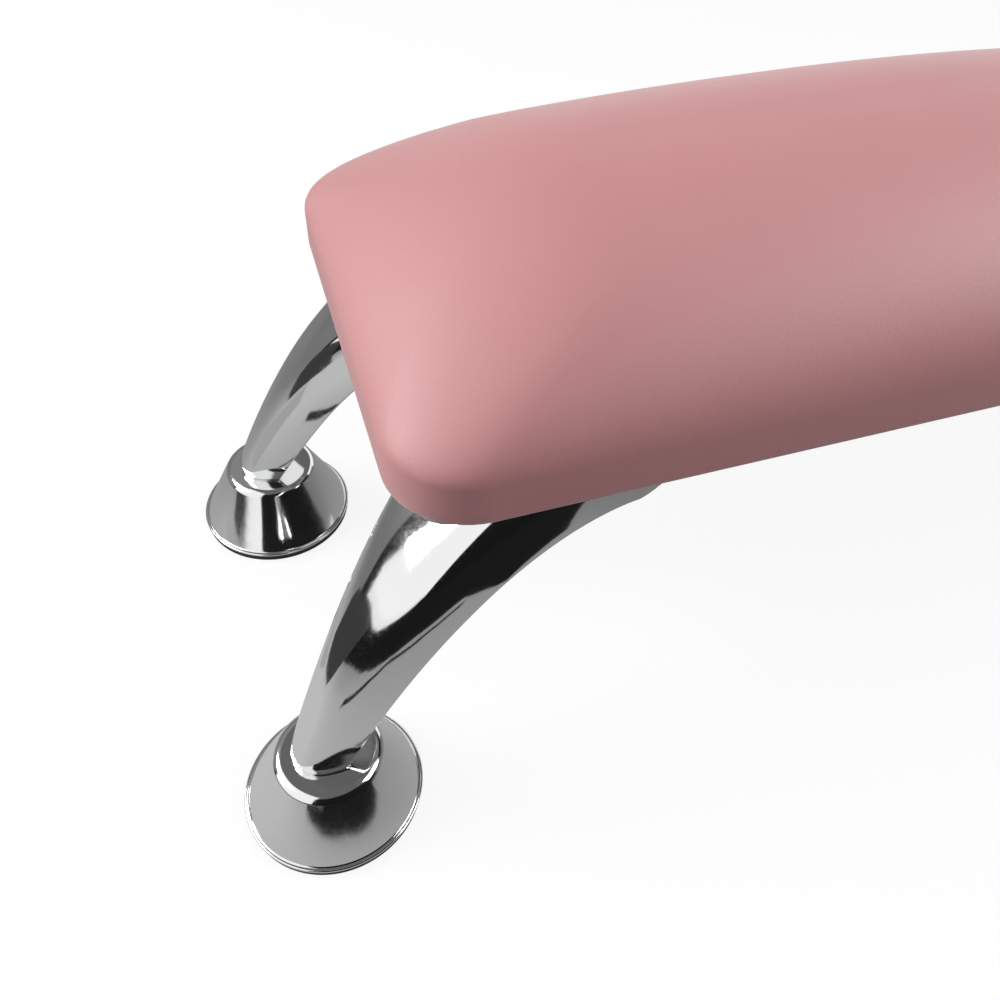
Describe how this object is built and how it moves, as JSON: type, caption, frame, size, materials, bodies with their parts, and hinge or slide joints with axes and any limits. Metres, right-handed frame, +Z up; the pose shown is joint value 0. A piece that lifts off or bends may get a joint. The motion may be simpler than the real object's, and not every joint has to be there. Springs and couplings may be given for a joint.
{
  "type": "manicure hand rest",
  "caption": "Long domed leatherette cushion on splayed chrome horn legs with screw-on bell feet, for resting the hand and forearm.",
  "frame": {"origin": "on the floor, under the middle of the cushion", "axes": "+X along the cushion's length, +Y across it towards the rear, +Z up; the picture looks from the front left corner"},
  "size_m": [0.4744, 0.1628, 0.172],
  "materials": {
    "cover": "matte, fine grained, dusty pink",
    "foam": "open cell foam",
    "board": "plain plywood",
    "lining": "black non-woven",
    "steel": "zinc plated",
    "chrome": "mirror plated",
    "sole": "matte black"
  },
  "bodies": {
    "rest": {"cushion_cover": "cover", "foam_pad": "foam", "base_board": "board", "bottom_lining": "lining", "cover_staples": "steel", "plate_screws": "steel", "leg_plate_left": "steel", "leg_plate_right": "steel", "leg_front_left": "chrome", "leg_front_right": "chrome", "leg_rear_left": "chrome", "leg_rear_right": "chrome", "leg_plug_front_left": "steel", "leg_plug_front_right": "steel", "leg_plug_rear_left": "steel", "leg_plug_rear_right": "steel"},
    "sole_front_left": {"foot_sole_front_left": "sole"},
    "foot_front_left": {"foot_stem_front_left": "steel", "foot_bell_front_left": "chrome"},
    "sole_front_right": {"foot_sole_front_right": "sole"},
    "foot_front_right": {"foot_stem_front_right": "steel", "foot_bell_front_right": "chrome"},
    "sole_rear_left": {"foot_sole_rear_left": "sole"},
    "foot_rear_left": {"foot_stem_rear_left": "steel", "foot_bell_rear_left": "chrome"},
    "sole_rear_right": {"foot_sole_rear_right": "sole"},
    "foot_rear_right": {"foot_stem_rear_right": "steel", "foot_bell_rear_right": "chrome"}
  },
  "joints": [
    {"name": "foot_slide_front_left", "type": "slide", "parent": "rest", "child": "sole_front_left", "axis": [0, 0, -1], "range_m": [0, 0.0035]},
    {"name": "foot_turn_front_left", "type": "hinge", "parent": "sole_front_left", "child": "foot_front_left", "pos_m": [-0.2122, -0.05645, 0], "axis": [0, 0, -1], "range_deg": [0, 1800]},
    {"name": "foot_slide_front_right", "type": "slide", "parent": "rest", "child": "sole_front_right", "axis": [0, 0, -1], "range_m": [0, 0.0035]},
    {"name": "foot_turn_front_right", "type": "hinge", "parent": "sole_front_right", "child": "foot_front_right", "pos_m": [0.2122, -0.05645, 0], "axis": [0, 0, -1], "range_deg": [0, 1800]},
    {"name": "foot_slide_rear_left", "type": "slide", "parent": "rest", "child": "sole_rear_left", "axis": [0, 0, -1], "range_m": [0, 0.0035]},
    {"name": "foot_turn_rear_left", "type": "hinge", "parent": "sole_rear_left", "child": "foot_rear_left", "pos_m": [-0.2122, 0.05645, 0], "axis": [0, 0, -1], "range_deg": [0, 1800]},
    {"name": "foot_slide_rear_right", "type": "slide", "parent": "rest", "child": "sole_rear_right", "axis": [0, 0, -1], "range_m": [0, 0.0035]},
    {"name": "foot_turn_rear_right", "type": "hinge", "parent": "sole_rear_right", "child": "foot_rear_right", "pos_m": [0.2122, 0.05645, 0], "axis": [0, 0, -1], "range_deg": [0, 1800]}
  ],
  "couplings": [
    {"joint": "foot_turn_front_left", "follows": "foot_slide_front_left", "rad_per_m": 8975.9},
    {"joint": "foot_turn_front_right", "follows": "foot_slide_front_right", "rad_per_m": 8975.9},
    {"joint": "foot_turn_rear_left", "follows": "foot_slide_rear_left", "rad_per_m": 8975.9},
    {"joint": "foot_turn_rear_right", "follows": "foot_slide_rear_right", "rad_per_m": 8975.9}
  ]
}
